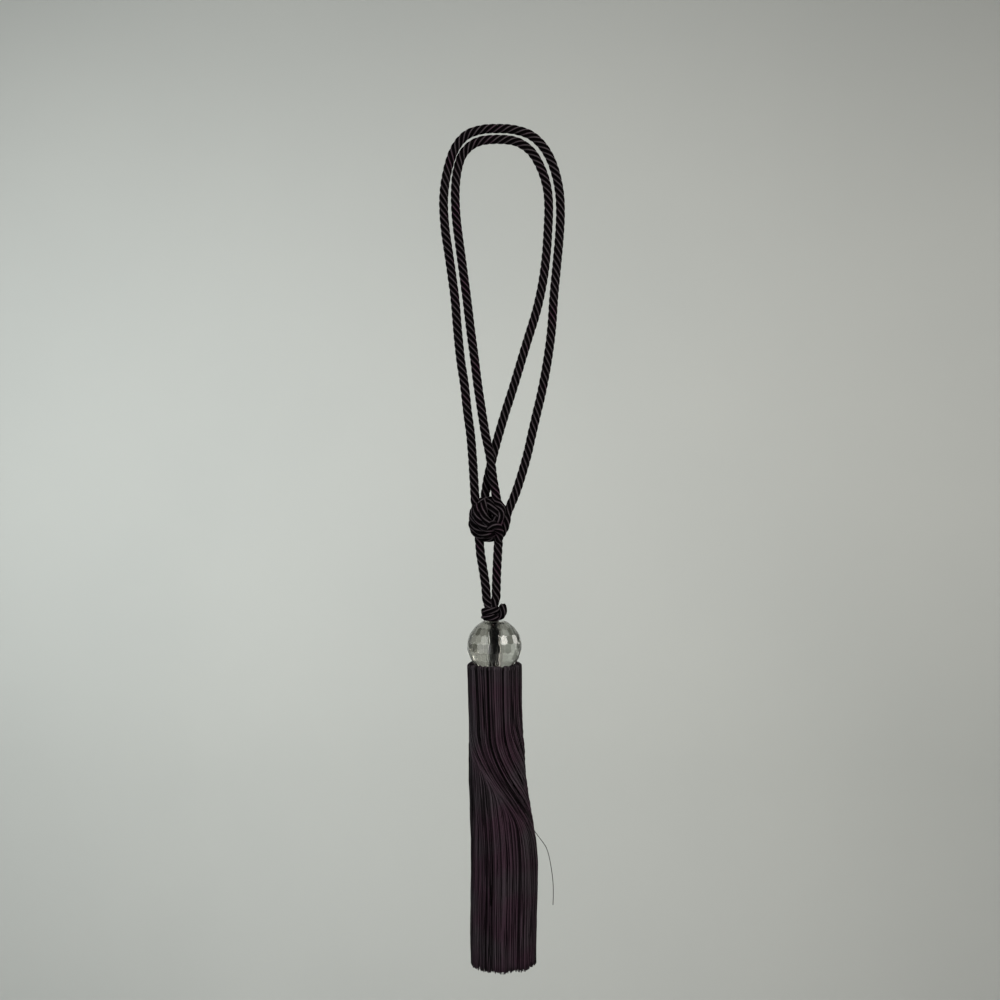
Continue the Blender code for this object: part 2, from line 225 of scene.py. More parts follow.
def skin(name, strands, crease=CORD_CREASE):
    """Make one mesh object of swept strands: closed at both ends, mapped, and faced outwards."""
    corners, faces, along_map, across_map, tints = [], [], [], [], []
    total = 0
    for strand in strands:
        rings = strand["rings"]
        count, width = rings.shape[:2]
        here = total + np.arange(count * width).reshape(count, width)
        beside = np.roll(here, -1, axis=1)
        around = np.stack([here[:-1], beside[:-1], beside[1:], here[1:]], axis=2)
        faces.extend(around.reshape(-1, 4).tolist())
        shape = (count - 1, width)
        start = np.broadcast_to(strand["along"][:-1, None], shape)
        end = np.broadcast_to(strand["along"][1:, None], shape)
        along_map.append(np.stack([start, start, end, end], axis=2).ravel())
        left = np.broadcast_to(strand["left"], shape)
        right = np.broadcast_to(strand["right"], shape)
        across_map.append(np.stack([left, right, right, left], axis=2).ravel())
        faces.append(here[0, ::-1].tolist())
        faces.append(here[-1].tolist())
        for length in (strand["along"][0], strand["along"][-1]):
            along_map.append(np.full(width, length))
            across_map.append(np.zeros(width))
        corners.append(rings.reshape(-1, 3))
        tints.append(np.full(count * width, strand["tint"]))
        total += count * width
    mesh = bpy.data.meshes.new(name)
    mesh.from_pydata(np.vstack(corners) * MM, [], faces)
    layer = mesh.uv_layers.new(name="lengths")
    both = np.column_stack([np.concatenate(along_map), np.concatenate(across_map)])
    layer.uv.foreach_set("vector", both.astype(np.float32).ravel())
    tint = mesh.attributes.new("tint", "FLOAT", "POINT")
    tint.data.foreach_set("value", np.concatenate(tints).astype(np.float32))
    piece = bpy.data.objects.new(name, mesh)
    bpy.context.collection.objects.link(piece)
    select_only(piece)
    bpy.ops.object.shade_smooth_by_angle(angle=math.radians(crease))
    print(name, "has", sum(len(face) - 2 for face in faces), "triangles")
    return piece


print("a bend over", CORD_CREASE, "degrees stays sharp")

# %% [markdown]
# ## Shader maths
# A finish is easier to read as a formula than as a drawing of nodes. One small class wraps a
# socket, so that adding or multiplying two of them adds the Math node that does it. A second
# class makes any other node in one call, and a third is a material that is built with them.

# %% Sockets as numbers
class Wire:
    """A number that changes over a surface, coming from one socket."""

    def __init__(self, nodes, socket):
        self.nodes = nodes
        self.socket = socket

    def math(self, operation, *others):
        inputs = dict(enumerate((self, *others)))
        return self.nodes.node("ShaderNodeMath", inputs, operation=operation)

    def __add__(self, other):
        return self.math("ADD", other)

    def __sub__(self, other):
        return self.math("SUBTRACT", other)

    def __mul__(self, other):
        return self.math("MULTIPLY", other)

    def __truediv__(self, other):
        return self.math("DIVIDE", other)

    def __rsub__(self, other):
        return (self * -1.0) + other

    __radd__ = __add__
    __rmul__ = __mul__

    def sine(self):
        return self.math("SINE")

    def size(self):
        return self.math("ABSOLUTE")

    def between(self, low, high):
        """0 below low, 1 above high and smooth in between."""
        return self.nodes.node(
            "ShaderNodeMapRange", {"Value": self, "From Min": low, "From Max": high},
            interpolation_type="SMOOTHSTEP",
        )


class Nodes:
    """A tree of nodes. One method makes a node of any kind, and the rest are short forms of it."""

    def __init__(self, tree):
        self.tree = tree

    def node(self, kind, inputs=None, output=0, **settings):
        made = self.tree.nodes.new(kind)
        for setting, value in settings.items():
            setattr(made, setting, value)
        for socket, value in (inputs or {}).items():
            self.feed(made.inputs[socket], value)
        return Wire(self, made.outputs[output])

    def feed(self, socket, value):
        if isinstance(value, Wire):
            self.tree.links.new(value.socket, socket)
        else:
            socket.default_value = value

    def mix(self, share, low, high):
        """A colour between two others."""
        return self.node(
            "ShaderNodeMix", {0: share, 6: low, 7: high}, output=2, data_type="RGBA",
        )

    def object_place(self):
        return self.node("ShaderNodeTexCoord", output="Object")

    def first_two(self, vector):
        """The first two numbers of a vector, such as its x and y."""
        first = self.node("ShaderNodeSeparateXYZ", {0: vector})
        return first, Wire(self, first.socket.node.outputs[1])

    def noise(self, place, scale, detail=2.0):
        return self.node("ShaderNodeTexNoise", {"Vector": place, "Scale": scale, "Detail": detail})

    def relief(self, height):
        """A bump whose height is in metres."""
        return self.node("ShaderNodeBump", {"Height": height, "Strength": 0.8, "Distance": 1.0})


class Finish(Nodes):
    """A material, built node by node round its Principled shader."""

    def __init__(self, name, **constants):
        self.material = bpy.data.materials.new(name)
        self.material.use_nodes = True
        super().__init__(self.material.node_tree)
        self.finish_with(**constants)

    def finish_with(self, **inputs):
        """Feed the shader's own sockets, each named with _ for a space."""
        surface = self.tree.nodes["Principled BSDF"]
        for socket, value in inputs.items():
            self.feed(surface.inputs[socket.replace("_", " ")], value)
        return self.material


print("shader helpers ready")

# %% [markdown]
# ## The cord's finish
# The cord is spun from bright rayon: nearly black, with a plum cast. The soft grey shine along
# the crown of each ply is a painted highlight, a lighter band in the colour. Up close each ply
# is a bundle of fine yarns that slant across it, because the ply has a twist of its own. They
# are far too fine to model, so they are ridges in the bump, with painted shade in the colour
# between two yarns and almost black painted shade in the groove beside the ply.

# %% Cord finish
CORD_DARK = (0.0008, 0.0004, 0.0007, 1.0)
CORD_LIT_PLUM = (0.075, 0.063, 0.070, 1.0)
CORD_LIT_WINE = (0.076, 0.028, 0.055, 1.0)
YARN_WIDTH = 0.62         # millimetres, as are the slant's two lengths and the painted crown highlight's width
YARN_SLANT = 0.95
CROWN_HIGHLIGHT_WIDTH = 0.9
GROOVE_HIGHLIGHT_SHARE = 0.015      # how much of the painted crown highlight is left in the groove's painted shade
RIDGE_HEIGHT = 0.00010    # metres, as is the fuzz
FUZZ_HEIGHT = 0.00002


def cord_finish():
    finish = Finish("plum_cord", Specular_IOR_Level=0.02)
    along, across = finish.first_two(finish.node("ShaderNodeUVMap", uv_map="lengths"))
    place = finish.object_place()
    count = (across + along * YARN_SLANT) / YARN_WIDTH
    wander = finish.noise(place, 900.0) - 0.5
    ridge = ((count + wander * 0.5) * math.pi).sine().size()
    # Painted highlight: the colour is lighter along each ply's crown.
    crown_highlight = 1.0 - across.size().between(0.0, CROWN_HIGHLIGHT_WIDTH)
    patch = finish.noise(place, 55.0, 3.0).between(0.5, 0.75)
    # Painted light and shade: light on the crowns, painted shade between two yarns and in the
    # groove.
    painted_light = ridge.between(0.0, 0.7) * (crown_highlight * (1.0 - GROOVE_HIGHLIGHT_SHARE) + GROOVE_HIGHLIGHT_SHARE)
    colour = finish.mix(painted_light, CORD_DARK, finish.mix(patch * 0.8, CORD_LIT_PLUM, CORD_LIT_WINE))
    bump = finish.relief(ridge * RIDGE_HEIGHT + finish.noise(place, 4000.0) * FUZZ_HEIGHT)
    return finish.finish_with(Base_Color=colour, Roughness=0.7 - painted_light * 0.35, Normal=bump)


plum_cord = cord_finish()
print(plum_cord.name, "has", len(plum_cord.node_tree.nodes), "nodes")

# %% [markdown]
# ## The two loops
# The routes are the ones that the frame's own tubes follow, in millimetres from the top of the
# loops. Their points are given one by one, because a hanging cord follows no formula: each side of
# a loop leans its own way, and one side crosses behind the other.

# %% Routes of the loops
OUTER_ROUTE = [
    (-15.8, 0.6, -265.0), (-16.4, 0.4, -254.9), (-17.4, 0.0, -239.2), (-18.9, 0.0, -221.3),
    (-21.1, 0.0, -205.0), (-23.3, 0.0, -185.6), (-26.1, 0.0, -167.0), (-28.2, 0.0, -146.4),
    (-30.0, 0.0, -125.0), (-32.2, -0.2, -108.0), (-34.7, -0.5, -90.7), (-37.2, -0.8, -73.0),
    (-38.1, -1.2, -53.6), (-35.8, -1.5, -35.0), (-30.6, -1.5, -18.5), (-22.4, -1.5, -8.1),
    (-11.5, -1.4, -3.9), (0.0, -1.2, -3.0), (12.5, -1.0, -3.8), (24.6, -0.8, -8.0),
    (34.0, -0.4, -17.2), (40.4, 0.2, -30.0), (44.3, 0.8, -46.0), (45.3, 1.2, -61.5),
    (44.6, 1.4, -78.5), (42.8, 1.4, -99.0), (40.6, 1.2, -122.0), (39.2, 1.0, -142.8),
    (37.4, 0.8, -158.9), (34.8, 0.6, -175.5), (31.7, 0.6, -191.6), (28.2, 0.6, -206.5),
    (24.9, 0.6, -220.8), (21.7, 0.4, -235.0), (17.4, 0.0, -250.3), (13.2, -0.6, -263.0),
    (9.2, -1.0, -272.5),
]
INNER_ROUTE = [
    (-0.9, -3.6, -263.4), (-2.9, -3.6, -252.6), (-5.0, -3.5, -236.7), (-8.4, -3.2, -220.3),
    (-10.9, -2.6, -204.8), (-13.8, -1.6, -185.6), (-16.2, -0.8, -166.4), (-18.9, -0.2, -146.4),
    (-21.5, 0.2, -125.0), (-24.3, 0.5, -104.0), (-27.0, 0.8, -84.0), (-29.2, 1.0, -66.0),
    (-29.9, 1.3, -48.0), (-28.4, 1.6, -32.0), (-23.9, 1.6, -19.5), (-14.2, 1.5, -11.8),
    (0.0, 1.4, -9.9), (13.8, 1.3, -11.6), (24.2, 1.2, -18.6), (31.3, 1.0, -30.4),
    (35.6, 0.8, -44.0), (36.9, 0.6, -58.0), (36.3, 0.6, -76.0), (35.0, 0.8, -94.0),
    (32.4, 1.2, -113.5), (28.2, 1.8, -132.5), (22.4, 2.4, -151.4), (16.8, 2.8, -170.0),
    (11.2, 3.1, -188.5), (5.6, 3.2, -206.0), (0.3, 3.3, -224.0), (-3.6, 3.3, -239.0),
    (-6.6, 3.3, -252.0), (-8.3, 3.2, -262.6),
]
print("points of the outer and the inner loop:", len(OUTER_ROUTE), len(INNER_ROUTE))

# %% [markdown]
# ## Into the big knot
# Each loop runs on at its ends into the big knot: the inner loop's left strand crosses the knot's
# front, and the outer loop's right strand goes down its right side. A point on the knot's front
# is given by how far right, up and forward of the ball's surface it is, so the ball's own
# roundness gives its depth.

# %% Run-ons of the loops
KNOT_MIDDLE = np.array((-5.4, 0.0, -281.7))
KNOT_LINE = np.array((11.6, 10.0, 13.0))      # half sizes of the ball the turns' middles lie on


def over_knot(rows):
    """Points on the knot's front from their x, z and lift, all measured from its middle."""
    points = []
    for x, z, lift in rows:
        inside = max(0.0, 1.0 - (x / KNOT_LINE[0]) ** 2 - (z / KNOT_LINE[2]) ** 2)
        points.append(tuple(KNOT_MIDDLE + (x, -KNOT_LINE[1] * math.sqrt(inside) - lift, z)))
    return points


LEFT_TAIL = [(-15.4, 1.4, -270.0), (-13.4, 2.6, -276.5)]
BACK_TAIL = [(-8.8, 3.6, -268.5), (-8.2, 3.4, -276.0)]
FRONT_RUN = over_knot([
    (5.5, 12.8, 3.8), (7.6, 8.8, 2.2), (8.4, 4.6, 1.2), (6.6, 0.8, 0.2), (3.4, -1.8, -2.0),
    (1.2, -3.2, -5.0),
])
RIGHT_RUN = [
    (7.2, -1.4, -277.5), (6.6, -1.8, -281.5), (5.9, -1.8, -285.6), (4.3, -1.0, -289.6),
    (2.0, 1.2, -292.6), (-1.2, 4.0, -293.6),
]
print("the front run comes", round(-min(point[1] for point in FRONT_RUN), 1), "mm forward")

# %% [markdown]
# ## Free cord and knotted cord
# Loop and run-on are swept in one go, so that the lay carries through, and then cut where the
# knot begins. The free part is a piece of its own. The parts past the cuts join the knots.

# %% Sweeping and cutting a loop
RING_SPACING = 0.8


def nearest_ring(points, place):
    """The number of the ring that is nearest to a place."""
    return int(np.argmin(np.linalg.norm(points - np.array(place), axis=1)))


def laid_loop(route, before, after):
    """Sweep a loop with its run-ons. Returns the free part, its points and the parts past it."""
    points = smooth_route([*before[::-1], *route, *after], RING_SPACING)
    strand = lay_cord(points)
    first = nearest_ring(points, route[0])
    last = nearest_ring(points, route[-1])
    free = cut(strand, first, last)
    runs = [cut(strand, 0, first), cut(strand, last, len(points) - 1)]
    return free, points[first:last + 1], runs


def free_cord(name, free, points):
    """A free stretch of cord: its mesh and its finish."""
    piece = skin(name, [free])
    piece.data.materials.append(plum_cord)
    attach(piece, "root")
    points[0] * MM
    points * MM
    return piece


print("rings are", RING_SPACING, "mm apart")

# %% [markdown]
# ## Making the loops
# Both loops go through the same two functions, and each takes the place of the plain tube that
# stands for it in the frame.

# %% Loops
outer_free, outer_points, outer_runs = laid_loop(OUTER_ROUTE, LEFT_TAIL, RIGHT_RUN)
inner_free, inner_points, inner_runs = laid_loop(INNER_ROUTE, FRONT_RUN, BACK_TAIL)
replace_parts(free_cord("outer_loop_cord", outer_free, outer_points), "loop_outer")
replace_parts(free_cord("inner_loop_cord", inner_free, inner_points), "loop_inner")

# %% [markdown]
# ## The necks
# Two strands leave the big knot and meet in the small one. The right one comes out from under the
# knot's front turns, so its run-on starts high on the knot's face. The left one only shows once
# it has left the knot.

# %% Necks
LEFT_NECK_ROUTE = [
    (-12.5, 0.2, -298.4), (-11.7, 0.3, -307.0), (-9.9, 0.3, -317.7), (-8.2, 0.2, -329.0),
    (-7.5, 0.0, -337.6),
]
RIGHT_NECK_ROUTE = [
    (0.95, -1.5, -298.1), (0.4, -1.2, -307.7), (-0.1, -0.8, -317.7), (-0.5, -0.4, -329.0),
    (-0.8, -0.2, -337.6),
]
LEFT_NECK_TOP = [(-12.9, 0.4, -292.5), (-12.2, 1.0, -287.0)]
RIGHT_NECK_TOP = [
    (1.3, -4.4, -294.0),
    *over_knot([
        (6.9, -8.6, 1.8), (5.9, -5.6, 1.9), (3.4, -4.0, 1.8), (0.7, -4.2, 0.8),
        (-0.8, -4.8, -2.4), (-1.0, -5.4, -6.5),
    ]),
]
LEFT_NECK_END = [(-6.6, -0.3, -341.5), (-5.2, -0.6, -345.0), (-4.6, -0.4, -348.0)]
RIGHT_NECK_END = [(-1.8, -0.2, -341.0), (-2.9, 0.2, -344.6), (-3.5, 0.4, -348.0)]

left_free, left_points, left_runs = laid_loop(LEFT_NECK_ROUTE, LEFT_NECK_TOP, LEFT_NECK_END)
right_free, right_points, right_runs = laid_loop(RIGHT_NECK_ROUTE, RIGHT_NECK_TOP, RIGHT_NECK_END)
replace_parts(free_cord("left_neck_cord", left_free, left_points), "neck_left")
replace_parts(free_cord("right_neck_cord", right_free, right_points), "neck_right")

# %% [markdown]
# ## The big knot
# This knot is cord wound into a ball and pulled tight. From the front its turns are arcs that fan
# out from the top, round the left and under to the right, and they lie side by side, one cord
# apart. Behind, where nothing else crosses it, the cord spirals from pole to pole of the ball.
# So the knot is made of the same swept cord: one long spiral, set deeper at the front, and then
# the front's own turns over it, each a few points measured from the knot's middle. Two short
# stretches fill its heart, where strands pass through. Cord that is pulled tight gets thinner and
# its lay gets longer, so the turns have a thinner cord and a lay of their own.

# %% Big knot
SPIRAL_POLE = np.array((0.13, -0.914, 0.385))
SPIRAL_STEP = math.radians(29.5)
SPIRAL_DEGREES = np.arange(8.0, 170.0, 1.0)      # from the front pole, as near as cord can turn
FRONT_DEPTH = 0.32        # how much deeper the front lies, as a share of the ball
KNOT_LAY = 36.0
PULLED_TIGHT = 0.94

# Each row is x, z and how far the cord is lifted off the knot's line, in millimetres.
FRONT_TURNS = [
    [(-9.4, 9.0, -5.0), (-8.6, 10.4, -2.2), (-6.4, 12.2, -0.3), (-3.4, 13.0, 0.6), (0.2, 13.4, 0.4),
     (4.0, 13.0, -3.0)],
    [(-1.4, 10.0, -9.8), (-1.6, 13.4, -5.0), (-0.4, 11.6, -1.4), (1.4, 9.0, 0.0), (3.4, 6.2, 0.0),
     (5.0, 3.4, -1.0), (5.2, 0.4, -4.0)],
    [(-1.2, 10.0, -9.8), (-1.6, 13.6, -5.0), (-2.8, 11.8, -1.4), (-3.9, 8.8, 0.0), (-4.0, 5.0, 0.2),
     (-3.0, 1.0, 0.2), (-0.6, -2.4, 0.0), (2.4, -4.4, -2.5)],
    [(-2.8, 9.6, -9.8), (-4.4, 13.0, -5.0), (-6.4, 11.2, -1.4), (-8.2, 8.2, 0.0), (-8.7, 4.4, 0.0),
     (-7.8, 0.4, 0.0), (-5.4, -3.4, 0.0), (-2.2, -6.0, 0.0), (1.6, -7.0, -0.8), (5.0, -6.8, -3.0)],
    [(-4.6, 8.4, -9.8), (-6.6, 11.8, -5.0), (-9.0, 9.8, -1.6), (-11.0, 6.2, 0.0), (-11.5, 2.2, 0.0),
     (-10.8, -2.4, 0.0), (-8.4, -6.6, 0.0), (-4.8, -9.4, 0.0), (-0.4, -10.4, 0.0),
     (3.6, -9.6, -2.0)],
    [(-11.0, 4.0, -8.0), (-12.0, 0.0, -5.5), (-12.0, -4.4, -2.6), (-10.0, -9.0, 0.0),
     (-6.0, -12.2, 0.6), (-1.6, -13.2, 0.6), (2.0, -12.6, -1.0), (4.4, -10.8, -4.0)],
]


def spiral_over_ball():
    """One cord round the ball from its front pole to its back, deeper where the front covers it."""
    pole = SPIRAL_POLE / np.linalg.norm(SPIRAL_POLE)
    side = np.cross(pole, (0.0, 0.0, 1.0))
    side /= np.linalg.norm(side)
    up = np.cross(pole, side)
    points = []
    for angle in np.radians(SPIRAL_DEGREES):
        bearing = math.tau * angle / SPIRAL_STEP
        direction = (
            pole * math.cos(angle)
            + (side * math.cos(bearing) + up * math.sin(bearing)) * math.sin(angle)
        )
        front = np.clip(-2.0 * direction[1], 0, 1)
        points.append(KNOT_MIDDLE + KNOT_LINE * direction * (1.0 - FRONT_DEPTH * front))
    return smooth_route(points, RING_SPACING)


HEART_RUNS = [
    [(-9.0, 2.0, -270.0), (-8.4, 2.2, -282.0), (-10.6, 1.6, -293.0)],
    [(-2.6, 2.2, -270.0), (-3.6, 2.6, -282.0), (-2.2, 2.0, -293.0)],
]
LAY_SHIFT = 0.9           # radians: no two turns show their plies in step

knot_strands = [lay_cord(spiral_over_ball(), 0.0, KNOT_LAY, PULLED_TIGHT)]
knot_strands += [lay_cord(smooth_route(run, RING_SPACING)) for run in HEART_RUNS]
for number, rows in enumerate(FRONT_TURNS):
    turn = smooth_route(over_knot(rows), RING_SPACING)
    knot_strands.append(lay_cord(turn, number * LAY_SHIFT, KNOT_LAY, PULLED_TIGHT))
knot_strands += [*outer_runs, *inner_runs, left_runs[0], right_runs[0]]
big_knot = skin("big_knot", knot_strands)
big_knot.data.materials.append(plum_cord)
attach(big_knot, "root")
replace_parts(big_knot, "slide_knot")

# %% [markdown]
# ## The small knot
# The two necks go into one overhand turn. From the front it shows two turns lying on each other,
# both climbing a little to the right, and the end of the cord that makes them bulges out on the
# right as an ear. Two turns of a helix and one short arc say all of that. Both ends of the helix
# draw in to the knot's middle, so neither shows.

# %% Small knot
SMALL_KNOT_MIDDLE = np.array((-4.7, 0.0, -345.7))
SMALL_KNOT_TURN = np.array((4.3, 3.6))
SMALL_KNOT_RISE = 4.7
SMALL_KNOT_TILT = 0.16
SMALL_KNOT_LOWEST = -1.27           # in turns: the helix stops going down there
SMALL_KNOT_LAY = 30.0
TURNS_FROM, TURNS_TO, TURNS_STEP = -600, 120, 15        # degrees round the knot
TUCK_DEGREES = 70
TUCKED_IN = 0.1                     # how far out an end lies, as a share of the turn
SQUEEZED = 0.82
EAR_SQUEEZED = 0.78
EAR_SHIFT = 1.6                     # radians
EAR_ROUTE = [
    (-0.8, 3.2, -349.4), (1.4, 3.4, -348.8), (3.0, 2.9, -346.9), (3.8, 1.2, -344.6),
    (4.3, -0.8, -344.0), (4.6, -2.3, -345.7), (4.4, -2.5, -348.0), (3.2, -2.0, -350.2),
    (0.8, -0.6, -351.3), (-1.6, 0.6, -351.2),
]


def small_knot_turns():
    """A helix of two turns round the knot's middle, drawn in at both ends."""
    turns = []
    for degrees in range(TURNS_FROM, TURNS_TO + 1, TURNS_STEP):
        bearing = math.radians(degrees)
        from_end = min(degrees - TURNS_FROM, TURNS_TO - degrees)
        size = min(1.0, TUCKED_IN + from_end / TUCK_DEGREES)
        x = SMALL_KNOT_TURN[0] * size * math.cos(bearing)
        y = SMALL_KNOT_TURN[1] * size * math.sin(bearing)
        turn = max(SMALL_KNOT_LOWEST, bearing / math.tau)
        turns.append(SMALL_KNOT_MIDDLE + (x, y, SMALL_KNOT_RISE * turn - SMALL_KNOT_TILT * x))
    return smooth_route(turns, RING_SPACING)


small_knot = skin("small_knot", [
    lay_cord(small_knot_turns(), 0.0, SMALL_KNOT_LAY, SQUEEZED),
    lay_cord(smooth_route(EAR_ROUTE, RING_SPACING), EAR_SHIFT, SMALL_KNOT_LAY, EAR_SQUEEZED),
    left_runs[1], right_runs[1],
])
small_knot.data.materials.append(plum_cord)
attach(small_knot, "root")
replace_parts(small_knot, "collar_knot")

# %% [markdown]
# ## The cord in the bead
# The cord goes on through the bead and shows as a dark core inside the clear plastic. It is a
# straight piece of the same laid cord, from inside the small knot to just under the bead, in the
# middle of the ball that the frame gives.

# %% Bead cord
BEAD_CORD_TOP = -350.0
UNDER_BALL = 1.0
SWOLLEN = 1.02            # the cord opens a little once it has left the knot

ball_low, ball_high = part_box("crystal_ball")
ball_x = (ball_low.x + ball_high.x) / 2 / MM
bead_cord_ends = [(ball_x, 0, BEAD_CORD_TOP), (ball_x, 0, ball_low.z / MM - UNDER_BALL)]
through_ball = smooth_route(bead_cord_ends, RING_SPACING)
bead_cord = skin("bead_cord_laid", [lay_cord(through_ball, scale=SWOLLEN)])
bead_cord.data.materials.append(plum_cord)
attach(bead_cord, "root")
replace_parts(bead_cord, "bead_cord")

# %% [markdown]
# ## The bead's finish
# The bead is clear acrylic. Each facet shows another part of the room, some of it bright and some
# of it dark, so each gets a painted reflection: a shade of its own in the colour, stored on its
# face. The drilled bore is left matt and greyish, and faint smears make the polish a little
# uneven.

# %% Acrylic finish
BORE_RADIUS = 3.55
BORE_BLEND = 1.08         # the bore's finish ends this much further out
# Painted reflections: each facet's colour lies between this dark and the bead's clear tint.
FACET_DARK_REFLECTION = (0.11, 0.11, 0.09, 1.0)
CLEAR_FACET = (0.84, 0.84, 0.78, 1.0)
DRILLED = (0.26, 0.25, 0.24, 1.0)


def acrylic_finish():
    finish = Finish("clear_acrylic", IOR=1.49, Transmission_Weight=1.0)
    place = finish.object_place()
    x, y = finish.first_two(place)
    across = x - ball_x * MM
    edge = BORE_RADIUS * MM
    bore = 1.0 - (across * across + y * y).between(edge ** 2, (BORE_BLEND * edge) ** 2)
    smears = finish.noise(place, 160.0, 4.0).between(0.5, 0.8)
    # Painted reflection: a stored shade for each facet, and a fixed one for the chamfers.
    facet = finish.node("ShaderNodeAttribute", output="Fac", attribute_name="facet")
    colour = finish.mix(bore, finish.mix(facet, FACET_DARK_REFLECTION, CLEAR_FACET), DRILLED)
    return finish.finish_with(Base_Color=colour, Roughness=smears * 0.05 + 0.005 + bore * 0.25)


clear_acrylic = acrylic_finish()
print(clear_acrylic.name, "has", len(clear_acrylic.node_tree.nodes), "nodes")

# %% [markdown]
# ## The ball bead
# The bead is ground with rows of flat facets and bored through. The frame's own solid has every
# facet already, so a copy of it is the start. Its triangles are joined back into whole facets,
# and then every edge gets the narrow polished chamfer that a tumbled bead has, which is where its
# thin bright lines come from.

# %% Bead
WELD = 0.00001            # metres
ONE_FACET = 1.5           # degrees: triangles that lie closer to flat are one facet
FACET_EDGE = 5            # degrees: sharper edges are ground
EDGE_CHAMFER = 0.2
SMALLEST_FACET = 3e-6     # square metres: a chamfer's face is smaller
# The painted reflection shade that every chamfer's face gets.
CHAMFER_SHADE = 0.6
FACET_SEED = 11


def ground_bead():
    """A copy of the frame's ball in whole facets, with ground edges.

    Each facet gets a shade of its own, a painted reflection.
    """
    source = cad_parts["crystal_ball"]
    bead = bpy.data.objects.new("ball_bead", source.data.copy())
    bpy.context.collection.objects.link(bead)
    select_only(bead)
    bpy.ops.object.mode_set(mode="EDIT")
    bpy.ops.mesh.select_all(action="SELECT")
    bpy.ops.mesh.remove_doubles(threshold=WELD)
    bpy.ops.mesh.dissolve_limited(angle_limit=math.radians(ONE_FACET))
    bpy.ops.object.mode_set(mode="OBJECT")
    chamfer = bead.modifiers.new("chamfer", "BEVEL")
    chamfer.width = EDGE_CHAMFER * MM
    chamfer.segments = 1
    chamfer.limit_method = "ANGLE"
    chamfer.angle_limit = math.radians(FACET_EDGE)
    bpy.ops.object.modifier_apply(modifier="chamfer")
    # Painted reflections: a random shade for each facet, one fixed shade for the chamfers.
    areas = np.array([face.area for face in bead.data.polygons])
    draws = np.random.default_rng(FACET_SEED).random(len(areas))
    shades = np.where(areas > SMALLEST_FACET, draws, CHAMFER_SHADE)
    facet = bead.data.attributes.new("facet", "FLOAT", "FACE")
    facet.data.foreach_set("value", shades.astype(np.float32))
    bead.data.materials.clear()
    bead.data.materials.append(clear_acrylic)
    return bead


bead = ground_bead()
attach(bead, "root")
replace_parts(bead, "crystal_ball")
print("the bead has", len(bead.data.polygons), "faces")

# %% [markdown]
# ## The skirt
# The skirt is a hank of fine yarn folded over at the top and cut off at the hem. Several hundred
# yarns hang over one another. How far out a yarn lies is asked of the frame's solid skirt with a
# ray, so the yarns fill exactly the space that the frame gives them.

# %% Where the skirt's surface is
skirt_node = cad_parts["skirt"]
skirt_tree = BVHTree.FromObject(skirt_node, bpy.context.evaluated_depsgraph_get())
skirt_low, skirt_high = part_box("skirt")
FAR = 0.2                 # metres: well outside the skirt
LEVEL_SPACING = 5.0
FOLD_RADIUS = 2.2
SHOULDER_RADIUS = 19.7
UNDER_FOLD = 2.0
HEM_LIFT = 1.6            # room for the longest yarns
HEM_MARGIN = 4.0          # below this the solid is already rounding off, so no ray is sent there
SHOULDER_TOP = skirt_high.z / MM
HEM = skirt_low.z / MM + HEM_LIFT


def skirt_middle(z):
    """The x of the skirt's middle at a height, from the frame's solid."""
    left = skirt_tree.ray_cast(Vector((-FAR, 0, z * MM)), Vector((1, 0, 0)))[0]
    right = skirt_tree.ray_cast(Vector((FAR, 0, z * MM)), Vector((-1, 0, 0)))[0]
    return (left.x + right.x) / 2 / MM


levels = np.arange(SHOULDER_TOP - FOLD_RADIUS - UNDER_FOLD, HEM, -LEVEL_SPACING)
middles = np.array([skirt_middle(z) for z in levels])


def reach(bearing, z):
    """How far the skirt's surface is from its middle, and where that middle is."""
    middle = float(np.interp(-z, -levels, middles))
    way = Vector((math.cos(bearing), math.sin(bearing), 0))
    start = Vector((middle * MM, 0, max(z, HEM + HEM_MARGIN) * MM)) + way * FAR
    hit = skirt_tree.ray_cast(start, -way)[0]
    return FAR / MM - (hit - start).length / MM, middle


print("the skirt's middle moves from", round(middles[0], 1), "to", round(middles.max(), 1), "mm")

# %% [markdown]
# ## The yarn's finish
# Each yarn's tint is stored on its points and picks a colour between near black and plum, with a
# wine cast in patches. The tint is partly the yarn's own share of the dye and partly painted:
# painted light where its clump stands forward, painted shade where it is set back. Fine slanting
# ridges stand for the twist of the yarn.

# %% Yarn finish
YARN_DARK = (0.0010, 0.0004, 0.0007, 1.0)
YARN_PLUM = (0.058, 0.048, 0.056, 1.0)
YARN_WINE = (0.058, 0.029, 0.045, 1.0)
TWIST_LENGTH = 1.5        # millimetres along the yarn from one ridge to the next
TWIST_GIRTH = 1.4         # and round it
TWIST_HEIGHT = 0.00005    # metres


def yarn_finish():
    finish = Finish("plum_yarn", Specular_IOR_Level=0.05)
    along, across = finish.first_two(finish.node("ShaderNodeUVMap", uv_map="lengths"))
    place = finish.object_place()
    # The tint holds the yarn's own dye plus painted light and shade from its clump.
    tint = finish.node("ShaderNodeAttribute", output="Fac", attribute_name="tint")
    ridge = ((along / TWIST_LENGTH + across / TWIST_GIRTH) * math.pi).sine().size()
    patch = finish.noise(place, 32.0, 3.0).between(0.38, 0.66) * 0.85
    colour = finish.mix(tint, YARN_DARK, finish.mix(patch, YARN_PLUM, YARN_WINE))
    bump = finish.relief(ridge * TWIST_HEIGHT + finish.noise(place, 3000.0) * FUZZ_HEIGHT)
    return finish.finish_with(Base_Color=colour, Roughness=0.45 - tint * 0.1, Normal=bump)


plum_yarn = yarn_finish()
print(plum_yarn.name, "has", len(plum_yarn.node_tree.nodes), "nodes")

# %% [markdown]
# ## Tubes of yarn
# A yarn is plain and round, so a few points in a ring, carried along its line, are enough. It
# comes back in the same form as a laid strand, so the same skin function can close it.

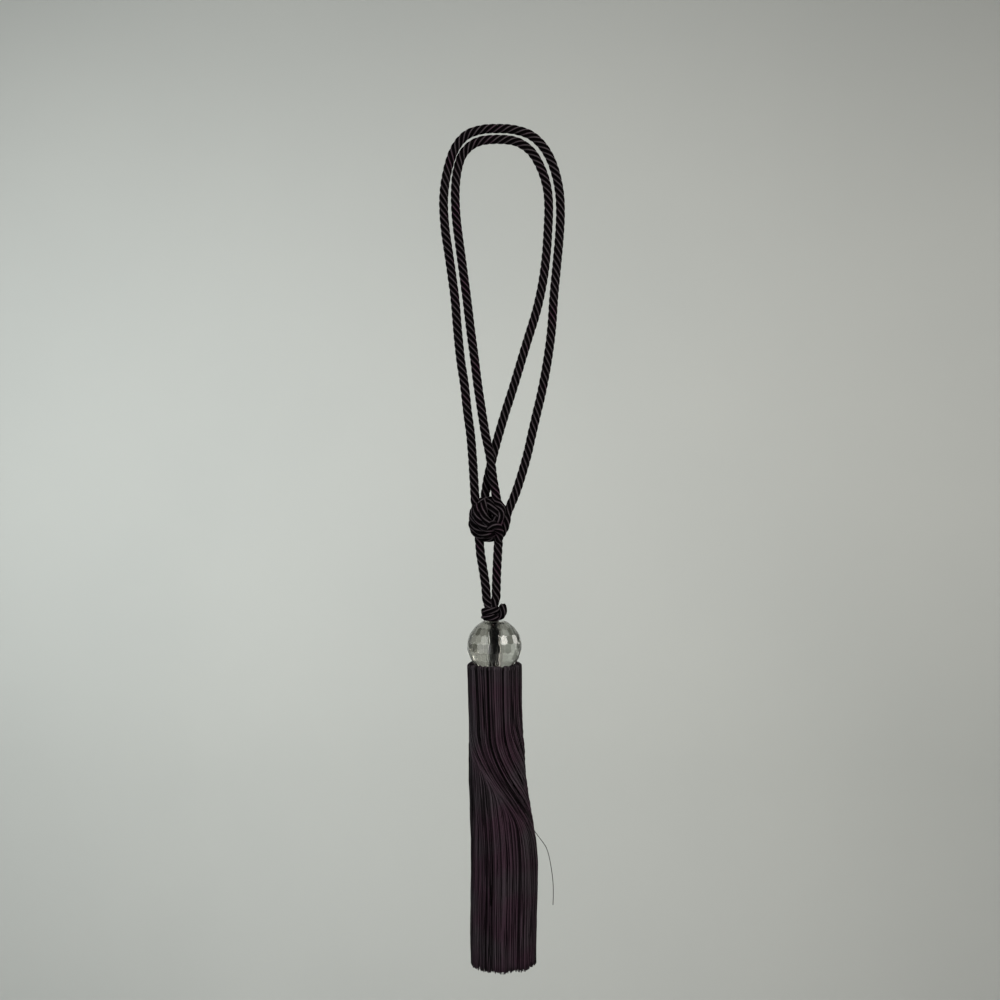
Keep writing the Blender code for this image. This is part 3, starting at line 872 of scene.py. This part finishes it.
# %% A tube of yarn
def thin_tube(points, radius, sides, tint, first_turn=0.0):
    """A plain round yarn along some points, ready for the skin."""
    side_way, up_way = carried_directions(points)
    angles = first_turn + math.tau * np.arange(sides) / sides
    rings = (
        points[:, None]
        + radius * np.cos(angles)[:, None] * side_way[:, None]
        + radius * np.sin(angles)[:, None] * up_way[:, None]
    )
    edges = math.tau * radius * np.arange(sides + 1) / sides
    return {
        "rings": rings,
        "along": lengths_along(points),
        "left": edges[:-1],
        "right": edges[1:],
        "tint": tint,
    }


short_yarn = thin_tube(np.array([(0, 0, 0), (0, 0, -100)], float), 0.3, 4, 0.5)
print("a yarn through two points has", len(short_yarn["rings"]), "rings")

# %% [markdown]
# ## How the skirt is swept
# The outer yarns have been pushed across the front from left to right on their way down. On the
# left the push starts higher up and is over sooner, which makes the long slanting fold that shows
# from the front. Yarn also lies in clumps of uneven width, some forward, some set back, and the
# forward ones get painted light, the set-back ones painted shade. A sum of a few waves round the
# skirt, out of step with one another, says that.

# %% Sweep and clumps
SWEEP_TOP = -413.0
SWEEP_LEAD = 19.0
SWEEP_HEIGHT = 72.0
SWEEP_STRETCH = 12.0
CLUMPS_ROUND = (7, 13, 19, 31, 43, 67)
CLUMP_SPREAD = 2.4        # brings most of the waves' sum to between -1 and 1
YARN_SEED = 11

draw = np.random.default_rng(YARN_SEED)
CLUMPS = [(count, draw.uniform(0, math.tau)) for count in CLUMPS_ROUND]


def sweep_share(z, bearing):
    """How much of its sweep a yarn has made at a height, from the bearing it ends at.

    The left of the skirt starts first and is done soonest.
    """
    to_right = math.cos(bearing)
    share = (SWEEP_TOP - SWEEP_LEAD * to_right - z) / (SWEEP_HEIGHT + SWEEP_STRETCH * to_right)
    share = min(1.0, max(0.0, share))
    return share * share * (3 - 2 * share)


def clump(bearing):
    """How far forward the yarns are at a bearing, mostly from -1 to 1.

    The same number gives painted light where they stand forward, painted shade where set back.
    """
    return sum(math.sin(count * bearing + start) for count, start in CLUMPS) / CLUMP_SPREAD


print("clumps at the front stand forward by", round(clump(-math.pi / 2), 2))

# %% [markdown]
# ## One yarn
# A yarn starts inside the fold at the top, goes over it and hangs down to the hem. At the top the
# yarns are bound in bundles, so they draw in a little between two bundles. Further down each one
# waves in and out and sways to the sides by itself, and no two end at quite the same height.

# %% The line of a yarn
BUNDLES = 23
FOLD_DEGREES = range(190, 9, -18)      # round the fold, from inside the skirt to outside
FOLD_DIP = 0.35           # how much the fold drops from the top of a bundle to its side
FOLD_UNEVEN = 0.06
BUNDLE_GATHER = 0.55
GATHER_SHARE = 0.25       # the share of the skirt's height over which the bundles fade away
WAVE_DEPTH = 0.15
WAVE_LENGTHS = (30, 70)
WAVE_SHARE = 0.125        # the share over which the waves build up
SWAY_ANGLE = 0.035        # radians
SWAY_LENGTHS = (40, 110)
HEM_UNEVEN = 0.5
HEM_DIP = 0.8
CLUMP_HEM = 0.5
LAST_STEP = 1.5           # no ring is closer than this to a yarn's end


def fold_over(bearing, fold, height):
    """The part of a yarn that goes over the fold."""
    points = []
    for degrees in FOLD_DEGREES:
        angle = math.radians(degrees)
        radius = SHOULDER_RADIUS - FOLD_RADIUS + fold * math.cos(angle)
        points.append((
            middles[0] + radius * math.cos(bearing), radius * math.sin(bearing),
            height + fold * math.sin(angle),
        ))
    return points


def hem_height(bearing):
    """Where the yarns end at a bearing: cut level, but not quite."""
    dip = HEM_DIP * math.sin(5 * bearing + 0.4) * math.cos(3 * bearing)
    return HEM + draw.normal(0, HEM_UNEVEN) + dip + CLUMP_HEM * clump(3 * bearing)


def hanging_yarn(bearing, inset, sweep, folded):
    """The line of one yarn: over the fold at the top, then down the skirt to the hem."""
    bundle = math.cos(BUNDLES * bearing)
    fold_dip = FOLD_DIP * (1 - bundle)
    fold_height = SHOULDER_TOP - FOLD_RADIUS - fold_dip + draw.normal(0, FOLD_UNEVEN)
    points = fold_over(bearing, FOLD_RADIUS - inset, fold_height) if folded else []
    wave, phase = draw.uniform(*WAVE_LENGTHS), draw.uniform(0, math.tau)
    sway, sway_phase = draw.uniform(*SWAY_LENGTHS), draw.uniform(0, math.tau)
    end = hem_height(bearing)
    swept = math.radians(sweep)
    heights = [z for z in levels if z > end + LAST_STEP]
    for z in [*heights, end]:
        down = (levels[0] - z) / (levels[0] - HEM)
        here = bearing + swept * sweep_share(z, bearing + swept)
        here += SWAY_ANGLE * down * math.sin(z / sway + sway_phase)
        out, middle = reach(here, z)
        gather = BUNDLE_GATHER * (1 - bundle) * max(0.0, 1 - down / GATHER_SHARE)
        waving = WAVE_DEPTH * (1 + math.sin(z * math.tau / wave + phase))
        out -= inset + gather + waving * min(1, down / WAVE_SHARE)
        points.append((middle + out * math.cos(here), out * math.sin(here), z))
    return np.array(points)


print("the fold has", len(FOLD_DEGREES), "points and a yarn about", len(levels) + 1, "more")

# %% [markdown]
# ## Layers of yarn
# Three layers hang over one another. The outer one is swept the most and the yarns under it hang
# straighter, so where the outer yarns part, the ones behind them cross the gap.

# %% Three layers
YARN_CREASE = 100         # degrees, so that a yarn of four sides is shaded round
YARN_SIDES = 4
YARN_SHIFT = 0.3          # how far a yarn may be off its place, in places
DEPTH_UNEVEN = 0.25
CLUMP_DEPTH = 0.45
SWEEP_UNEVEN = 5          # degrees
TINT_MIDDLE = 0.36
# Painted light on clumps that stand forward, painted shade on those set back.
CLUMP_PAINTED_SHADE = 0.42
TINT_UNEVEN = 0.36
WIDTH_RANGE = (0.85, 1.15)


def yarn_layer(name, count, inset, sweep, radius, folded):
    """One mesh of many yarns round the skirt, each a little off its even place."""
    strands = []
    for number in range(count):
        bearing = math.tau * (number + draw.uniform(-YARN_SHIFT, YARN_SHIFT)) / count
        forward = clump(bearing)
        depth = inset + draw.uniform(0, DEPTH_UNEVEN) + CLUMP_DEPTH * max(0.0, -forward)
        points = hanging_yarn(bearing, depth, sweep + draw.normal(0, SWEEP_UNEVEN), folded)
        # The clump's part of the tint is painted: light where forward, shade where set back. The
        # rest is dye.
        tint = TINT_MIDDLE + CLUMP_PAINTED_SHADE * forward + draw.normal(0, TINT_UNEVEN)
        tint = float(np.clip(tint, 0, 1))
        width = radius * draw.uniform(*WIDTH_RANGE)
        strands.append(thin_tube(points, width, YARN_SIDES, tint, number))
    layer = skin(name, strands, YARN_CREASE)
    layer.data.materials.append(plum_yarn)
    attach(layer, "root")
    return layer


# Each layer: how many yarns, how far in, degrees of sweep, radius, and whether the fold shows.
outer_yarn = yarn_layer("skirt_outer_yarn", 360, 0.36, 104.0, 0.33, True)
yarn_layer("skirt_middle_yarn", 300, 1.05, 60.0, 0.38, True)
yarn_layer("skirt_inner_yarn", 200, 1.8, 20.0, 0.50, False)
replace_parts(outer_yarn, "skirt")

# %% [markdown]
# ## Inside the skirt
# Behind the three layers the hank is solid with yarn. Nobody sees its sides, only the cut ends
# from below and a dark floor under the bead, so a copy of the frame's solid, shrunk until it
# lies behind the yarns, fills it, and short ends of yarn stand out of its bottom.

# %% Skirt core
BEHIND_YARN = 0.0026      # metres

core = bpy.data.objects.new("skirt_core", skirt_node.data.copy())
bpy.context.collection.objects.link(core)
core.data.materials.clear()
core.data.materials.append(plum_yarn)
select_only(core)
bpy.ops.object.mode_set(mode="EDIT")
bpy.ops.mesh.select_all(action="SELECT")
bpy.ops.mesh.remove_doubles(threshold=WELD)
bpy.ops.transform.shrink_fatten(value=-BEHIND_YARN)
bpy.ops.object.mode_set(mode="OBJECT")
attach(core, "root")
print("the core has", len(core.data.polygons), "faces")

# %% [markdown]
# ## Cut ends
# From below the hem shows a round of cut yarn ends. They are set out like seeds in a sunflower,
# each a golden angle on from the last, which fills a round evenly with no rows.

# %% Cut ends
CUT_ENDS = 420
GOLDEN_ANGLE = math.pi * (3 - math.sqrt(5))
ENDS_INSET = 2.4
ENDS_START = 14.0         # above the hem, inside the core
ENDS_MEASURED = 6.0       # above the hem, where the skirt's width is read
ENDS_LIFT, ENDS_UNEVEN = 0.4, 0.7
SPLAY = 1.005
END_RADIUS = 0.62
END_SIDES = 6
END_TINTS = (0.2, 0.9)

ends = []
for number in range(CUT_ENDS):
    bearing = number * GOLDEN_ANGLE
    out, middle = reach(bearing, HEM + ENDS_MEASURED)
    out = (out - ENDS_INSET) * math.sqrt((number + 0.5) / CUT_ENDS)
    x, y = out * math.cos(bearing), out * math.sin(bearing)
    bottom = HEM + draw.normal(ENDS_LIFT, ENDS_UNEVEN)
    line = np.array([(middle + x, y, HEM + ENDS_START), (middle + SPLAY * x, SPLAY * y, bottom)])
    ends.append(thin_tube(line, END_RADIUS, END_SIDES, float(draw.uniform(*END_TINTS)), number))
cut_ends = skin("skirt_cut_ends", ends)
cut_ends.data.materials.append(plum_yarn)
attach(cut_ends, "root")

# %% [markdown]
# ## The loose thread
# One thread has worked out of the skirt's right side and hangs beside it in a thin arc.

# %% Loose thread
THREAD_ROUTE = [
    (22.0, -9.5, -494.0), (25.6, -8.6, -500.5), (30.2, -7.8, -507.0), (34.6, -7.2, -513.4),
    (37.0, -6.8, -521.0), (38.6, -6.4, -529.8), (39.6, -6.0, -538.0), (39.9, -5.8, -546.0),
    (39.7, -5.6, -555.0),
]
THREAD_SPACING = 2.0
THREAD_RADIUS = 0.26
THREAD_SIDES = 6
THREAD_TINT = 0.2

thread_points = smooth_route(THREAD_ROUTE, THREAD_SPACING)
thread_tube = thin_tube(thread_points, THREAD_RADIUS, THREAD_SIDES, THREAD_TINT)
thread = skin("skirt_loose_thread", [thread_tube])
thread.data.materials.append(plum_yarn)
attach(thread, "root")

# %% [markdown]
# ## Room
# A plain pale floor lies well under the tieback and turns up into a pale wall behind it, far
# enough away to walk round the back. One plane does it: its back edge is pulled up to make the
# wall, and the corner is rounded so that no line shows.

# %% Floor and wall
FLOOR_HEIGHT = -1.25
WALL_AWAY = 1.3
ROOM_WIDTH = 7.0
WALL_HEIGHT = 4.0
CORNER_ROUND = 0.5
CORNER_STEPS = 16
PAINT_DARKER = (0.512, 0.527, 0.508, 1.0)
PAINT_LIGHTER = (0.562, 0.573, 0.546, 1.0)


def room_finish():
    finish = Finish("pale_paint")
    cloud = finish.noise(finish.object_place(), 2.5, 3.0)
    colour = finish.mix(cloud, PAINT_DARKER, PAINT_LIGHTER)
    return finish.finish_with(Base_Color=colour, Roughness=0.9)


bpy.ops.object.select_all(action="DESELECT")
bpy.ops.mesh.primitive_plane_add(
    size=ROOM_WIDTH, location=(0, WALL_AWAY - ROOM_WIDTH / 2, FLOOR_HEIGHT)
)
room = bpy.context.object
room.name = "floor_and_wall"
for edge in room.data.edges:
    edge.select = all(room.data.vertices[index].co.y > 0 for index in edge.vertices)
for corner in room.data.vertices:
    corner.select = corner.co.y > 0
for face in room.data.polygons:
    face.select = False
bpy.ops.object.mode_set(mode="EDIT")
bpy.ops.mesh.select_mode(type="EDGE")
bpy.ops.mesh.extrude_region_move(TRANSFORM_OT_translate={"value": (0, 0, WALL_HEIGHT)})
bpy.ops.object.mode_set(mode="OBJECT")
rounding = room.modifiers.new("rounded_corner", "BEVEL")
rounding.width = CORNER_ROUND
rounding.segments = CORNER_STEPS
rounding.limit_method = "ANGLE"
bpy.ops.object.modifier_apply(modifier="rounded_corner")
bpy.ops.object.shade_smooth()
room.data.materials.append(room_finish())
print("the room has", len(room.data.polygons), "faces")

# %% [markdown]
# ## Light
# Near-black cord only shows its plies by the light that runs along their crowns, so it is lit
# from several sides by large soft lamps: a key above on the right, a fill on the left and a narrow
# strip at each edge from behind. Two more only light the wall. The light from the right is a
# little warmer, as from a room lamp, and the wall's left is a little cooler.

# %% Lights
HANG_MIDDLE = (cad_box[0] + cad_box[1]) / 2
WALL_LEFT = Vector((-0.50, WALL_AWAY, -0.22))
WALL_RIGHT = Vector((0.60, WALL_AWAY, -0.28))
WALL_SPREAD = 92          # degrees: narrower than a bare lamp, to keep most of it on the wall
WARM = (1.0, 0.96, 0.91)
COOL = (0.94, 1.0, 1.0)
LIGHTS = {
    # name: place, what it looks at, width and height, power in watts
    "soft_key_right": ((0.62, -0.85, 0.30), HANG_MIDDLE, (0.55, 0.75), 15.0),
    "wide_fill_left": ((-1.30, -1.30, -0.10), HANG_MIDDLE, (1.6, 1.6), 16.0),
    "edge_strip_left": ((-0.95, 0.35, -0.30), HANG_MIDDLE, (0.09, 1.2), 2.0),
    "edge_strip_right": ((0.95, 0.25, -0.25), HANG_MIDDLE, (0.09, 1.2), 2.0),
    "wall_wash_left": ((-1.35, -0.20, -0.10), WALL_LEFT, (1.0, 1.0), 5.35),
    "wall_wash_right": ((1.60, 0.00, 0.20), WALL_RIGHT, (1.0, 1.0), 2.2),
}
for name, (place, aim, size, power) in LIGHTS.items():
    towards = aim - Vector(place)
    bpy.ops.object.light_add(
        type="AREA", location=place, rotation=towards.to_track_quat("-Z", "Y").to_euler(),
    )
    lamp = bpy.context.object
    lamp.name = name
    lamp.data.shape = "RECTANGLE"
    lamp.data.size, lamp.data.size_y = size
    lamp.data.energy = power
    if name.startswith("wall_wash"):
        lamp.data.spread = math.radians(WALL_SPREAD)
    if name.endswith("_right"):
        lamp.data.color = WARM
    elif name == "wall_wash_left":
        lamp.data.color = COOL
print(len(LIGHTS), "lights")

# %% [markdown]
# ## Beyond the room
# From the sides and from behind the camera sees past the wall. What it sees there should be about
# as pale as the wall, but should light the dark cord only faintly, so the world's strength
# depends on who asks: the camera or the light.

# %% World
BEYOND_COLOUR = (0.62, 0.66, 0.66, 1.0)
BEYOND_AS_LIGHT = 0.12
BEYOND_AS_SEEN = 0.62

world = bpy.data.worlds.new("pale_room")
bpy.context.scene.world = world
world.use_nodes = True
beyond = Nodes(world.node_tree)
seen = beyond.node("ShaderNodeLightPath", output="Is Camera Ray")
strength = beyond.node(
    "ShaderNodeMapRange", {"Value": seen, "To Min": BEYOND_AS_LIGHT, "To Max": BEYOND_AS_SEEN},
)
background = world.node_tree.nodes["Background"]
beyond.feed(background.inputs["Color"], BEYOND_COLOUR)
beyond.feed(background.inputs["Strength"], strength)
bpy.context.scene.view_settings.view_transform = "Standard"
print("the world lights the cord at", BEYOND_AS_LIGHT, "and shows at", BEYOND_AS_SEEN)
